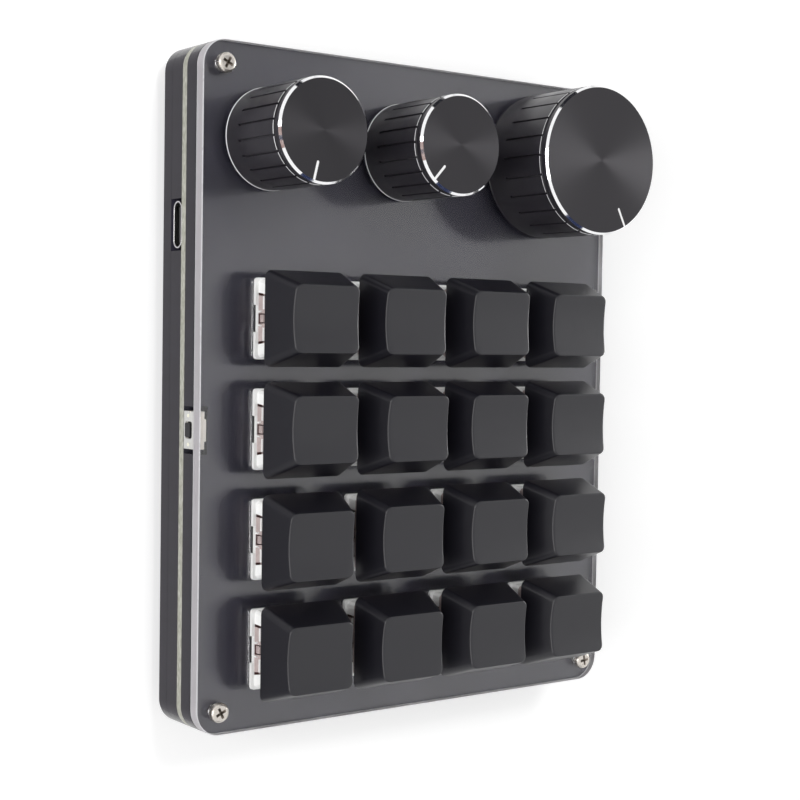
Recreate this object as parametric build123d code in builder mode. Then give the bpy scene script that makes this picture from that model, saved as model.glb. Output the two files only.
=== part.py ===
from build123d import *
import os

# Macro keypad: sixteen keys and three push-and-turn knobs on a screwed stack of plates.
# Frame: +Z out of the key faces, +Y towards the knobs, and the USB socket looks along -X.
# Origin: centre of the footprint, on the surface that the rubber feet stand on. Millimetres.

# Small round holes, shanks and posts have few sides, which keeps the facets few
small_round_sides = 8

# Plate stack, from the bottom up
plate_corner = 5.0
foot_height = 3.0
rear_thickness = 3.0
spacer_thickness = 4.0
board_thickness = 1.6
black_thickness = 3.5
clear_thickness = 2.5
spacer_wall = 6.0
spacer_pad_radius = 4.5

# Corner screws, their nuts and the feet
screw_inset = 4.5
screw_diameter = 2.0
screw_hole_clearance = 0.2
screw_tip_recess = 0.2
screw_head_diameter = 3.8
screw_head_height = 1.3
screw_head_chamfer = 0.4
nut_flats = 4.0
nut_thickness = 1.6
thread_clearance = 0.04
foot_diameter = 9.0
foot_inset_x = 13.0
foot_inset_y = 13.0

# Key block
key_rows = 4
key_columns = 4
key_pitch_x = 21.4
key_pitch_y = 20.9
key_side_margin = 9.85
key_end_margin = 6.7
key_travel = 4.0

# Keycap, one unit, with the finger dish running along X
cap_base = 18.1
cap_corner = 0.85
cap_top_x = 14.3
cap_top_y = 12.4
cap_top_shift = -0.4
cap_height = 7.5
cap_rim_gap = 1.2
cap_wall = 1.1
cap_roof = 1.5
dish_depth = 0.7
boss_x = 5.6
boss_y = 5.0
boss_recess = 0.4

# Key stem: cross post, neck and hollow slider
cross_span = 4.0
cross_arm_x = 1.3
cross_arm_y = 1.1
cross_height = 3.6
cross_clearance = 0.05
neck_x = 6.6
neck_y = 5.4
slider_y = 6.0
slider_clearance = 0.25
slider_stop_gap = 0.1
slider_floor_gap = 1.1
slider_roof = 0.8

# Switch housings, contact pins and return spring
flange_side = 15.6
flange_height = 1.0
flange_notch_length = 5.0
flange_notch_depth = 0.5
body_side = 13.9
body_clearance = 0.05
body_depth = 5.0
body_wall = 1.0
body_floor = 1.0
post_diameter = 4.0
post_clearance = 0.1
post_below_board = 0.7
housing_height = 6.6
upper_base_side = 14.8
upper_top_x = 11.0
upper_top_y = 12.0
upper_wall = 1.0
upper_roof = 1.0
window_clearance = 0.3
pin_x = 1.0
pin_y = 0.6
pin_clearance = 0.2
pin_offsets = [(2.54, 3.81), (5.08, -2.54)]
spring_diameter = 4.0
spring_sides = 6
spring_wall = 0.5
spring_clearance = 0.3

# Knobs: the first groove's place and the pointer's place are in degrees from +X
knob_side_margin = 4.3
knob_end_margin = 2.6
knob_key_gap = 9.5
knob_gap = 0.9
knob_height = 18.4
knob_face = 4.25
small_knob_diameter = 19.4
small_knob_grooves = 21
small_knob_band = 4.4
small_pointer_length = 3.3
large_knob_diameter = 30.4
large_knob_grooves = 24
large_knob_band = 5.3
large_pointer_length = 3.8
first_grooves = {"left": 189.2, "middle": 180.4, "right": 179.7}
pointer_places = {"left": 256.0, "middle": 227.5, "right": 297.5}
pointer_width = 0.7
pointer_depth = 0.25
pointer_margin = 0.7
face_chamfer = 0.65
neck_ring_drop = 1.3
neck_ring_width = 0.8
neck_ring_depth = 0.4
groove_width = 0.55
groove_depth = 0.45
groove_stop = 0.4
skirt_wall = 1.8
hub_gap = 1.1

# Encoders
encoder_x = 11.7
encoder_y = 12.0
encoder_clearance = 0.2
encoder_base_height = 1.5
encoder_can_height = 4.0
can_wall = 0.5
bushing_diameter = 7.0
bushing_length = 5.4
shaft_diameter = 6.0
shaft_flat = 1.5
shaft_square = 4.0
running_clearance = 0.05
rotor_diameter = 9.4
rotor_sides = 12
rotor_thickness = 2.2
rotor_gap = 0.3
push_travel = 0.5
lead_x = 0.9
lead_y = 0.6
lead_below_board = 1.4
lead_pitch = 2.5
lead_row_y = 4.9

# USB-C socket under the board, in the left edge
usb_end_distance = 34.1
usb_width = 8.94
usb_height = 3.16
usb_depth = 7.35
usb_wall = 0.31
usb_side_clearance = 0.43
tongue_width = 6.7
tongue_thickness = 0.7
tongue_setback = 0.6
usb_block_depth = 1.8

# Side button on top of the board, in the left edge
button_end_distance = 72.6
button_length = 7.1
button_depth = 1.9
button_middle_length = 4.6
button_middle_depth = 2.6
button_setback = 0.4
button_top_gap = 0.1
button_notch_clearance = 0.9
button_slot_length = 3.1
button_slot_height = 2.2
button_slot_depth = 1.4
button_travel = 0.25
plunger_clearance = 0.2
plunger_proud = 0.6
stake_diameter = 0.7
stake_height = 0.1
stake_pitch = 5.4

# Controller, regulator and one diode for each key, under the board
controller_side = 7.0
controller_height = 1.0
controller_gap = 8.0
regulator_x = 3.5
regulator_y = 6.5
regulator_height = 1.6
regulator_gap = 3.0
diode_x = 1.6
diode_y = 2.6
diode_height = 1.1
diode_offset = (-6.0, -4.6)

# Levels, from the bottom up
rear_z = foot_height
spacer_z = rear_z + rear_thickness
board_z = spacer_z + spacer_thickness
black_z = board_z + board_thickness
clear_z = black_z + black_thickness
top_z = clear_z + clear_thickness

# Plate size: the margins, the key block and the row of knobs, added up
key_block_x = (key_columns - 1) * key_pitch_x + cap_base
key_block_length = (key_rows - 1) * key_pitch_y + cap_base
plate_x = 2 * key_side_margin + key_block_x
plate_y = key_end_margin + key_block_length + knob_key_gap + large_knob_diameter + knob_end_margin

# Places seen from above
edge_x = -plate_x / 2
end_y = plate_y / 2
key_block_y = key_end_margin + key_block_length / 2 - end_y
knob_y = end_y - knob_end_margin - large_knob_diameter / 2
usb_y = end_y - usb_end_distance
button_y = end_y - button_end_distance
corner_points = [
    (side * (plate_x / 2 - screw_inset), end * (plate_y / 2 - screw_inset))
    for side in (-1, 1)
    for end in (-1, 1)
]
foot_points = [
    (side * (plate_x / 2 - foot_inset_x), end * (plate_y / 2 - foot_inset_y))
    for side in (-1, 1)
    for end in (-1, 1)
]
key_points = {
    f"r{row + 1}c{column + 1}": (
        (column - (key_columns - 1) / 2) * key_pitch_x,
        key_block_y + ((key_rows - 1) / 2 - row) * key_pitch_y,
    )
    for row in range(key_rows)
    for column in range(key_columns)
}
pin_points = [(x + pin_x0, y + pin_y0) for x, y in key_points.values() for pin_x0, pin_y0 in pin_offsets]

# The outer knobs keep one margin to the side edges, and the middle one leaves equal gaps.
left_knob_x = edge_x + knob_side_margin + small_knob_diameter / 2
right_knob_x = -edge_x - knob_side_margin - large_knob_diameter / 2
middle_knob_x = (left_knob_x + small_knob_diameter / 2 + right_knob_x - large_knob_diameter / 2) / 2
knob_points = {
    "left": (left_knob_x, knob_y),
    "middle": (middle_knob_x, knob_y),
    "right": (right_knob_x, knob_y),
}
lead_offsets = [(step * lead_pitch, -lead_row_y) for step in (-1, 0, 1)]
lead_offsets += [(step * lead_pitch, lead_row_y) for step in (-1, 1)]
lead_points = [
    (x + lead_x0, y + lead_y0) for x, y in knob_points.values() for lead_x0, lead_y0 in lead_offsets
]

os.makedirs("parts", exist_ok=True)


def save(shape, name):
    """Label one finished piece and write it as its own file."""
    shape.label = name
    export_step(shape, f"parts/{name}.step")


def save_copies(shape, points, name):
    """Repeat one solid at several points as a single node of separate solids."""
    save(Compound(children=[shape.moved(Location((x, y, 0))) for x, y in points]), name)


def small_round(radius, mode=Mode.ADD):
    """Few-sided round for the sketch that is open, with its corners on the radius."""
    RegularPolygon(radius, small_round_sides, mode=mode)


def plate_outline():
    """Rounded outline with the four screw holes, for the sketch that is open."""
    RectangleRounded(plate_x, plate_y, plate_corner)
    with Locations(*corner_points):
        small_round(screw_diameter / 2 + screw_hole_clearance, mode=Mode.SUBTRACT)


def control_holes():
    """Square holes of the switches and encoders, for the sketch that is open."""
    with Locations(*key_points.values()):
        Rectangle(body_side + 2 * body_clearance, body_side + 2 * body_clearance, mode=Mode.SUBTRACT)
    with Locations(*knob_points.values()):
        Rectangle(encoder_x + 2 * encoder_clearance, encoder_y + 2 * encoder_clearance, mode=Mode.SUBTRACT)


def tapered_block(z, height, base_x, base_y, top_x, top_y, top_shift=0.0):
    """Block with four flat leaning sides: its outline along Y crossed with its outline along X."""
    with BuildPart() as block:
        with BuildSketch(Plane.XZ):
            with BuildLine():
                Polyline(
                    (-base_x / 2, z),
                    (base_x / 2, z),
                    (top_shift + top_x / 2, z + height),
                    (top_shift - top_x / 2, z + height),
                    close=True,
                )
            make_face()
        extrude(amount=base_y, both=True)
        with BuildSketch(Plane.YZ):
            with BuildLine():
                Polyline(
                    (-base_y / 2, z),
                    (base_y / 2, z),
                    (top_y / 2, z + height),
                    (-top_y / 2, z + height),
                    close=True,
                )
            make_face()
        extrude(amount=base_x, both=True, mode=Mode.INTERSECT)
    return block.part


# Clear top plate: the switch flanges rest on it
with BuildPart() as clear_top_plate:
    with BuildSketch(Plane.XY.offset(clear_z)):
        plate_outline()
        control_holes()
    extrude(amount=clear_thickness)
save(clear_top_plate.part, "clear_top_plate")

# Black switch plate, open at the left edge for the side button
button_notch_depth = button_setback + button_middle_depth + button_notch_clearance
with BuildPart() as switch_plate:
    with BuildSketch(Plane.XY.offset(black_z)):
        plate_outline()
        control_holes()
        with Locations((edge_x, button_y)):
            Rectangle(2 * button_notch_depth, button_length + 2 * button_notch_clearance, mode=Mode.SUBTRACT)
    extrude(amount=black_thickness)
save(switch_plate.part, "switch_plate")

# Circuit board: holes for the switch posts, contact pins and encoder leads
with BuildPart() as circuit_board:
    with BuildSketch(Plane.XY.offset(board_z)):
        plate_outline()
        with Locations(*key_points.values()):
            small_round(post_diameter / 2 + post_clearance, mode=Mode.SUBTRACT)
        with Locations(*pin_points):
            Rectangle(pin_x + 2 * pin_clearance, pin_y + 2 * pin_clearance, mode=Mode.SUBTRACT)
        with Locations(*lead_points):
            Rectangle(lead_x + 2 * pin_clearance, lead_y + 2 * pin_clearance, mode=Mode.SUBTRACT)
    extrude(amount=board_thickness)
save(circuit_board.part, "circuit_board")

# Spacer frame: open inside, a pad round each screw, and a notch for the USB socket
with BuildPart() as spacer_frame:
    with BuildSketch(Plane.XY.offset(spacer_z)):
        plate_outline()
    extrude(amount=spacer_thickness)
    with BuildSketch(Plane.XY.offset(spacer_z)):
        Rectangle(plate_x - 2 * spacer_wall, plate_y - 2 * spacer_wall)
        with Locations(*corner_points):
            Circle(spacer_pad_radius, mode=Mode.SUBTRACT)
        with Locations((edge_x, usb_y)):
            Rectangle(3 * spacer_wall, usb_width + 2 * usb_side_clearance)
    extrude(amount=spacer_thickness, mode=Mode.SUBTRACT)
save(spacer_frame.part, "spacer_frame")

# Rear plate
with BuildPart() as rear_plate:
    with BuildSketch(Plane.XY.offset(rear_z)):
        plate_outline()
    extrude(amount=rear_thickness)
save(rear_plate.part, "rear_plate")

# Corner screws: low head, and a plain shank that ends inside the nut
nut_z = rear_z - nut_thickness
with BuildPart() as screw:
    with BuildSketch(Plane.XY.offset(top_z)):
        Circle(screw_head_diameter / 2)
    extrude(amount=screw_head_height)
    chamfer(screw.edges().group_by(Axis.Z)[-1], screw_head_chamfer)
    with BuildSketch(Plane.XY.offset(nut_z + screw_tip_recess)):
        small_round(screw_diameter / 2)
    extrude(amount=top_z - nut_z - screw_tip_recess)
save_copies(screw.part, corner_points, "corner_screws")

with BuildPart() as nut:
    with BuildSketch(Plane.XY.offset(nut_z)):
        RegularPolygon(nut_flats / 2, 6, major_radius=False)
        small_round(screw_diameter / 2 + thread_clearance, mode=Mode.SUBTRACT)
    extrude(amount=nut_thickness)
save_copies(nut.part, corner_points, "corner_nuts")

# Rubber feet
with BuildPart() as foot:
    with BuildSketch(Plane.XY):
        Circle(foot_diameter / 2)
    extrude(amount=foot_height)
save_copies(foot.part, foot_points, "rubber_feet")

# Keycap: tapered shell with a dished top, open below, and a boss with the socket for the stem's cross
cap_z = top_z + flange_height + key_travel + cap_rim_gap
cap_roof_z = cap_z + cap_height - dish_depth - cap_roof
boss_z = cap_z + boss_recess
rise = (cap_roof_z - cap_z) / cap_height
dish_radius = ((cap_top_y / 2) ** 2 + dish_depth**2) / (2 * dish_depth)
cap_hollow = cap_base - 2 * cap_wall
cap_hollow_top_x = cap_hollow - (cap_base - cap_top_x) * rise
cap_hollow_top_y = cap_hollow - (cap_base - cap_top_y) * rise
cap_block = tapered_block(cap_z, cap_height, cap_base, cap_base, cap_top_x, cap_top_y, cap_top_shift)
cap_cavity = tapered_block(
    cap_z, cap_roof_z - cap_z, cap_hollow, cap_hollow, cap_hollow_top_x, cap_hollow_top_y, cap_top_shift * rise
)
with BuildPart() as keycap:
    add(cap_block)
    leaning_edges = keycap.edges().filter_by(Axis.X, reverse=True).filter_by(Axis.Y, reverse=True)
    chamfer(leaning_edges, cap_corner)
    with BuildSketch(Plane.YZ.offset(-cap_base)):
        with Locations((0, cap_z + cap_height - dish_depth + dish_radius)):
            Circle(dish_radius)
    extrude(amount=2 * cap_base, mode=Mode.SUBTRACT)
    add(cap_cavity, mode=Mode.SUBTRACT)
    with BuildSketch(Plane.XY.offset(boss_z)):
        Rectangle(boss_x, boss_y)
        Rectangle(cross_span + 2 * cross_clearance, cross_arm_x + 2 * cross_clearance, mode=Mode.SUBTRACT)
        Rectangle(cross_arm_y + 2 * cross_clearance, cross_span + 2 * cross_clearance, mode=Mode.SUBTRACT)
    extrude(amount=cap_roof_z - boss_z)

# Lower switch housing: notched flange on the clear plate, hollow body, post that locates in the board
body_z = top_z - body_depth
floor_z = body_z + body_floor
with BuildPart() as switch_base:
    with BuildSketch(Plane.XY.offset(body_z)):
        Rectangle(body_side, body_side)
    extrude(amount=body_depth)
    with BuildSketch(Plane.XY.offset(top_z)):
        Rectangle(flange_side, flange_side)
        with Locations((-flange_side / 2, 0), (flange_side / 2, 0)):
            Rectangle(2 * flange_notch_depth, flange_notch_length, mode=Mode.SUBTRACT)
    extrude(amount=flange_height)
    with BuildSketch(Plane.XY.offset(floor_z)):
        Rectangle(body_side - 2 * body_wall, body_side - 2 * body_wall)
    extrude(amount=body_depth - body_floor + flange_height, mode=Mode.SUBTRACT)
    with BuildSketch(Plane.XY.offset(board_z - post_below_board)):
        small_round(post_diameter / 2)
    extrude(amount=body_z - board_z + post_below_board)
save_copies(switch_base.part, key_points.values(), "switch_bases")

# Upper switch housing: tapered and hollow, with the window that the stem comes out of
upper_z = top_z + flange_height
upper_height = housing_height - flange_height
hollow_height = upper_height - upper_roof
hollow_base = upper_base_side - 2 * upper_wall
hollow_top_x = hollow_base - (upper_base_side - upper_top_x) * hollow_height / upper_height
hollow_top_y = hollow_base - (upper_base_side - upper_top_y) * hollow_height / upper_height
upper_block = tapered_block(upper_z, upper_height, upper_base_side, upper_base_side, upper_top_x, upper_top_y)
upper_cavity = tapered_block(upper_z, hollow_height, hollow_base, hollow_base, hollow_top_x, hollow_top_y)
with BuildPart() as switch_top:
    add(upper_block)
    add(upper_cavity, mode=Mode.SUBTRACT)
    with BuildSketch(Plane.XY.offset(upper_z + hollow_height)):
        Rectangle(neck_x + 2 * window_clearance, neck_y + 2 * window_clearance)
    extrude(amount=upper_roof, mode=Mode.SUBTRACT)
save_copies(switch_top.part, key_points.values(), "switch_tops")

# Key stem: the slider rests under the upper housing's roof, and its socket holds the spring
slider_z = floor_z + key_travel + slider_floor_gap
slider_top = upper_z + hollow_height - slider_stop_gap
socket_side = spring_diameter + 2 * spring_clearance
with BuildPart() as stem:
    with BuildSketch(Plane.XY.offset(slider_z)):
        Rectangle(hollow_top_x - 2 * slider_clearance, slider_y)
        Rectangle(socket_side, socket_side, mode=Mode.SUBTRACT)
    extrude(amount=slider_top - slider_roof - slider_z)
    with BuildSketch(Plane.XY.offset(slider_top - slider_roof)):
        Rectangle(hollow_top_x - 2 * slider_clearance, slider_y)
    extrude(amount=slider_roof)
    with BuildSketch(Plane.XY.offset(slider_top)):
        Rectangle(neck_x, neck_y)
    extrude(amount=boss_z - slider_top)
    with BuildSketch(Plane.XY.offset(boss_z)):
        Rectangle(cross_span, cross_arm_x)
        Rectangle(cross_arm_y, cross_span)
    extrude(amount=cross_height)

for key, (key_x, key_y) in key_points.items():
    save(keycap.part.moved(Location((key_x, key_y, 0))), f"keycap_{key}")
    save(stem.part.moved(Location((key_x, key_y, 0))), f"stem_{key}")

# Return spring, as a six-sided sleeve from the housing's floor to the stem's socket
with BuildPart() as spring:
    with BuildSketch(Plane.XY.offset(floor_z)):
        RegularPolygon(spring_diameter / 2, spring_sides)
        RegularPolygon(spring_diameter / 2 - spring_wall, spring_sides, mode=Mode.SUBTRACT)
    extrude(amount=slider_top - slider_roof - floor_z)
save_copies(spring.part, key_points.values(), "switch_springs")

# Contact pins: two flat blades under each switch, through the board
with BuildPart() as pin:
    with BuildSketch(Plane.XY.offset(board_z - post_below_board)):
        Rectangle(pin_x, pin_y)
    extrude(amount=body_z - board_z + post_below_board)
save_copies(pin.part, pin_points, "switch_pins")

# Encoder housing: folded can, open below, with the bushing that guides the shaft
can_z = black_z + encoder_base_height
can_top = can_z + encoder_can_height
bushing_top = can_top + bushing_length
with BuildPart() as encoder_housing:
    with BuildSketch(Plane.XY.offset(can_z)):
        Rectangle(encoder_x, encoder_y)
        Rectangle(encoder_x - 2 * can_wall, encoder_y - 2 * can_wall, mode=Mode.SUBTRACT)
    extrude(amount=encoder_can_height - can_wall)
    with BuildSketch(Plane.XY.offset(can_top - can_wall)):
        Rectangle(encoder_x, encoder_y)
        Circle(shaft_diameter / 2 + running_clearance, mode=Mode.SUBTRACT)
    extrude(amount=can_wall)
    with BuildSketch(Plane.XY.offset(can_top)):
        Circle(bushing_diameter / 2)
        Circle(shaft_diameter / 2 + running_clearance, mode=Mode.SUBTRACT)
    extrude(amount=bushing_length)
save_copies(encoder_housing.part, knob_points.values(), "encoder_housings")

# Encoder base: moulded block on the board, with its leads
with BuildPart() as encoder_base:
    with BuildSketch(Plane.XY.offset(black_z)):
        Rectangle(encoder_x, encoder_y)
    extrude(amount=encoder_base_height)
    with BuildSketch(Plane.XY.offset(board_z - lead_below_board)):
        with Locations(*lead_offsets):
            Rectangle(lead_x, lead_y)
    extrude(amount=board_thickness + lead_below_board)
save_copies(encoder_base.part, knob_points.values(), "encoder_bases")

# Rotor: turns in the can, and its square hole lets the shaft slide
rotor_z = can_z + rotor_gap
with BuildPart() as rotor:
    with BuildSketch(Plane.XY.offset(rotor_z)):
        RegularPolygon(rotor_diameter / 2, rotor_sides)
        Rectangle(shaft_square + 2 * running_clearance, shaft_square + 2 * running_clearance, mode=Mode.SUBTRACT)
    extrude(amount=rotor_thickness)

# Shaft: square foot in the rotor, round in the bushing, and a flat side inside the knob
knob_z = top_z + knob_gap
knob_top = knob_z + knob_height
hub_z = bushing_top + push_travel + hub_gap
shaft_z = can_z + push_travel + running_clearance
shaft_round_z = rotor_z + rotor_thickness + push_travel + running_clearance
shaft_top = knob_top - knob_face - running_clearance
with BuildPart() as shaft:
    with BuildSketch(Plane.XY.offset(shaft_z)):
        Rectangle(shaft_square, shaft_square)
    extrude(amount=shaft_round_z - shaft_z)
    with BuildSketch(Plane.XY.offset(shaft_round_z)):
        Circle(shaft_diameter / 2)
    extrude(amount=shaft_top - shaft_round_z)
    with BuildSketch(Plane.XY.offset(hub_z)):
        with Locations((0, shaft_diameter / 2)):
            Rectangle(shaft_diameter, 2 * shaft_flat)
    extrude(amount=shaft_top - hub_z, mode=Mode.SUBTRACT)


def turned_knob(diameter, grooves, band, pointer_length, first_groove, pointer_angle):
    """One knob: turned profile, hollow skirt, blind bore with a flat, axial grooves and a pointer slot."""
    radius = diameter / 2
    ring_top = knob_top - neck_ring_drop
    ring_bottom = ring_top - neck_ring_width
    pointer_middle = radius - pointer_margin - pointer_length / 2
    with BuildPart() as knob:
        with BuildSketch(Plane.XZ):
            with BuildLine():
                Polyline(
                    (0, hub_z),
                    (radius - skirt_wall, hub_z),
                    (radius - skirt_wall, knob_z),
                    (radius, knob_z),
                    (radius, ring_bottom),
                    (radius - neck_ring_depth, ring_bottom),
                    (radius - neck_ring_depth, ring_top),
                    (radius, ring_top),
                    (radius, knob_top - face_chamfer),
                    (radius - face_chamfer, knob_top),
                    (0, knob_top),
                    close=True,
                )
            make_face()
        revolve(axis=Axis.Z)
        with BuildSketch(Plane.XY.offset(knob_z + band)):
            with PolarLocations(radius, grooves, start_angle=first_groove):
                Rectangle(2 * groove_depth, groove_width)
        extrude(amount=ring_bottom - groove_stop - knob_z - band, mode=Mode.SUBTRACT)
        with BuildSketch(Plane.XY.offset(hub_z)):
            Circle(shaft_diameter / 2 + running_clearance)
            with Locations((0, shaft_diameter / 2 + running_clearance)):
                Rectangle(2 * shaft_diameter, 2 * shaft_flat, mode=Mode.SUBTRACT)
        extrude(amount=knob_top - knob_face - hub_z, mode=Mode.SUBTRACT)
        with BuildSketch(Plane.XY.offset(knob_top)):
            with PolarLocations(pointer_middle, 1, start_angle=pointer_angle):
                Rectangle(pointer_length, pointer_width)
        extrude(amount=-pointer_depth, mode=Mode.SUBTRACT)
    return knob.part


small_knob = (small_knob_diameter, int(small_knob_grooves), small_knob_band, small_pointer_length)
large_knob = (large_knob_diameter, int(large_knob_grooves), large_knob_band, large_pointer_length)
knob_kinds = {"left": small_knob, "middle": small_knob, "right": large_knob}
for name, (knob_x, knob_row_y) in knob_points.items():
    place = Location((knob_x, knob_row_y, 0))
    knob = turned_knob(*knob_kinds[name], first_grooves[name], pointer_places[name])
    save(knob.moved(place), f"knob_{name}")
    save(shaft.part.moved(place), f"encoder_shaft_{name}")
    save(rotor.part.moved(place), f"encoder_rotor_{name}")

# USB-C socket: drawn shell under the board, its mouth flush with the left edge
usb_z = board_z - usb_height / 2
with BuildPart() as usb_shell:
    with BuildSketch(Plane.YZ.offset(edge_x)):
        with Locations((usb_y, usb_z)):
            SlotOverall(usb_width, usb_height)
            SlotOverall(usb_width - 2 * usb_wall, usb_height - 2 * usb_wall, mode=Mode.SUBTRACT)
    extrude(amount=usb_depth)
save(usb_shell.part, "usb_socket_shell")

with BuildPart() as usb_tongue:
    with BuildSketch(Plane.YZ.offset(edge_x + usb_depth)):
        with Locations((usb_y, usb_z)):
            SlotOverall(usb_width - 2 * usb_wall, usb_height - 2 * usb_wall)
    extrude(amount=-usb_block_depth)
    with BuildSketch(Plane.YZ.offset(edge_x + tongue_setback)):
        with Locations((usb_y, usb_z)):
            Rectangle(tongue_width, tongue_thickness)
    extrude(amount=usb_depth - usb_block_depth - tongue_setback)
save(usb_tongue.part, "usb_socket_tongue")

# Side button: stepped body on the board, two stakes that hold its cover, and a slot for the plunger
button_x = edge_x + button_setback
button_height = black_thickness - button_top_gap
button_z = black_z + button_height / 2
with BuildPart() as button_housing:
    with BuildSketch(Plane.YZ.offset(button_x)):
        with Locations((button_y, button_z)):
            Rectangle(button_length, button_height)
    extrude(amount=button_depth)
    with BuildSketch(Plane.YZ.offset(button_x)):
        with Locations((button_y, button_z)):
            Rectangle(button_middle_length, button_height)
    extrude(amount=button_middle_depth)
    with BuildSketch(Plane.YZ.offset(button_x)):
        with Locations((button_y, button_z)):
            Rectangle(button_slot_length, button_slot_height)
    extrude(amount=button_slot_depth, mode=Mode.SUBTRACT)
    with BuildSketch(Plane.YZ.offset(button_x)):
        with Locations((button_y - stake_pitch / 2, button_z), (button_y + stake_pitch / 2, button_z)):
            small_round(stake_diameter / 2)
    extrude(amount=-stake_height)
save(button_housing.part, "side_button_housing")

with BuildPart() as button_plunger:
    with BuildSketch(Plane.YZ.offset(button_x - plunger_proud)):
        with Locations((button_y, button_z)):
            Rectangle(button_slot_length - 2 * plunger_clearance, button_slot_height - 2 * plunger_clearance)
    extrude(amount=plunger_proud + button_slot_depth - button_travel - running_clearance)
save(button_plunger.part, "side_button_plunger")

# Chips under the board: controller and regulator behind the USB socket, and a diode beside each key
controller_x = edge_x + usb_depth + controller_gap + controller_side / 2
regulator_place_x = controller_x + controller_side / 2 + regulator_gap + regulator_x / 2
diode_points = [(x + diode_offset[0], y + diode_offset[1]) for x, y in key_points.values()]
with BuildPart() as board_chips:
    with BuildSketch(Plane.XY.offset(board_z)):
        with Locations((controller_x, usb_y)):
            Rectangle(controller_side, controller_side)
    extrude(amount=-controller_height)
    with BuildSketch(Plane.XY.offset(board_z)):
        with Locations((regulator_place_x, usb_y)):
            Rectangle(regulator_x, regulator_y)
    extrude(amount=-regulator_height)
    with BuildSketch(Plane.XY.offset(board_z)):
        with Locations(*diode_points):
            Rectangle(diode_x, diode_y)
    extrude(amount=-diode_height)
save(board_chips.part, "board_chips")
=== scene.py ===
"""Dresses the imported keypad: finer meshes, materials, stage and camera.

Meshes are drawn in millimetres in the frame of the solids and scaled to metres once, in make_mesh.
"""
import math

import bmesh
import bpy
from mathutils import Matrix, Vector

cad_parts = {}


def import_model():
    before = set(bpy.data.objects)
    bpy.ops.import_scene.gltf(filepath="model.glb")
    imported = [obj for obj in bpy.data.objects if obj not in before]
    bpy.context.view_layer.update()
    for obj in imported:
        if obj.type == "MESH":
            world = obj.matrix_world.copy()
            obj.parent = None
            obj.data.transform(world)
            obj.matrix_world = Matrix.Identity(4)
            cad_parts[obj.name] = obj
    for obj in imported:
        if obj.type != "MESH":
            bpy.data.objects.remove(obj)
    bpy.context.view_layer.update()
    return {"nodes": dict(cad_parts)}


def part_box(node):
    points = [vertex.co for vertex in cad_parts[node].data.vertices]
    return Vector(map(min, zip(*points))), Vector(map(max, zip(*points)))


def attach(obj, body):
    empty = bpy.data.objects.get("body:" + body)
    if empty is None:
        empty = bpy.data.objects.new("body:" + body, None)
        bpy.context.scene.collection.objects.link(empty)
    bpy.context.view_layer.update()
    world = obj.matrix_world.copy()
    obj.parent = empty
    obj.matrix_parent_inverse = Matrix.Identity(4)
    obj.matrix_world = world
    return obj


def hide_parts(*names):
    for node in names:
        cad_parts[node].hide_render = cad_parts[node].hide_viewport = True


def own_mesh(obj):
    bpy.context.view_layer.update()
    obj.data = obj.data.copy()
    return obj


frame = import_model()
scene = bpy.context.scene

mm = 0.001
key_names = [f"r{row}c{column}" for row in range(1, 5) for column in range(1, 5)]
knob_names = ["left", "middle", "right"]


def box_mm(node):
    """Lowest and highest corner of a node at rest, in millimetres."""
    low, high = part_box(node)
    return Vector(low) / mm, Vector(high) / mm


def z_range(node):
    """Lowest and highest z of a node at rest, in millimetres."""
    return [corner.z for corner in box_mm(node)]


def centre_xy(node):
    """Middle of a node seen from above, in millimetres."""
    low, high = box_mm(node)
    return (low.x + high.x) / 2, (low.y + high.y) / 2


key_points = {key: centre_xy(f"keycap_{key}") for key in key_names}
knob_points = {side: centre_xy(f"encoder_shaft_{side}") for side in knob_names}
plate_low, plate_high = box_mm("clear_top_plate")
plate_x = plate_high.x - plate_low.x
plate_y = plate_high.y - plate_low.y
top_z = plate_high.z
clear_z = plate_low.z
black_z = z_range("switch_plate")[0]
board_z = z_range("circuit_board")[0]
spacer_z = z_range("spacer_frame")[0]
rear_z = z_range("rear_plate")[0]


# Outlines


def arc(centre, radius, start, end, steps):
    """Points on an arc from one angle to another, with both ends."""
    angles = [start + (end - start) * i / steps for i in range(steps + 1)]
    return [(centre[0] + radius * math.cos(angle), centre[1] + radius * math.sin(angle)) for angle in angles]


def circle(radius, steps, centre=(0.0, 0.0)):
    """Points round a circle."""
    return arc(centre, radius, 0.0, 2 * math.pi, steps)[:-1]


def rectangle(size_x, size_y, centre=(0.0, 0.0)):
    """The four corners of a rectangle, anticlockwise."""
    x, y = centre
    return [
        (x - size_x / 2, y - size_y / 2),
        (x + size_x / 2, y - size_y / 2),
        (x + size_x / 2, y + size_y / 2),
        (x - size_x / 2, y + size_y / 2),
    ]


def rounded_rectangle(size_x, size_y, radius, corner_steps=8, side_steps=1, centre=(0.0, 0.0)):
    """A rectangle with round corners, anticlockwise, with each side cut into side_steps."""
    x, y = size_x / 2 - radius, size_y / 2 - radius
    corners = []
    for quarter, (x_sign, y_sign) in enumerate(((1, 1), (-1, 1), (-1, -1), (1, -1))):
        middle = (centre[0] + x_sign * x, centre[1] + y_sign * y)
        start = quarter * math.pi / 2
        corners.append(arc(middle, radius, start, start + math.pi / 2, corner_steps))
    points = []
    for corner, following in zip(corners, corners[1:] + corners[:1]):
        points += corner
        (x0, y0), (x1, y1) = corner[-1], following[0]
        for i in range(1, side_steps):
            points.append((x0 + (x1 - x0) * i / side_steps, y0 + (y1 - y0) * i / side_steps))
    return points


def notch(left, centre_y, length, depth):
    """The corners of a square notch in a left edge, from its upper one down."""
    top, bottom = centre_y + length / 2, centre_y - length / 2
    return [(left, top), (left + depth, top), (left + depth, bottom), (left, bottom)]


def left_side_start(outline, left):
    """The number of points in an anticlockwise outline up to its straight left side."""
    return [i for i, (x, y) in enumerate(outline) if abs(x - left) < 1e-6 and y > 0][-1] + 1


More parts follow.
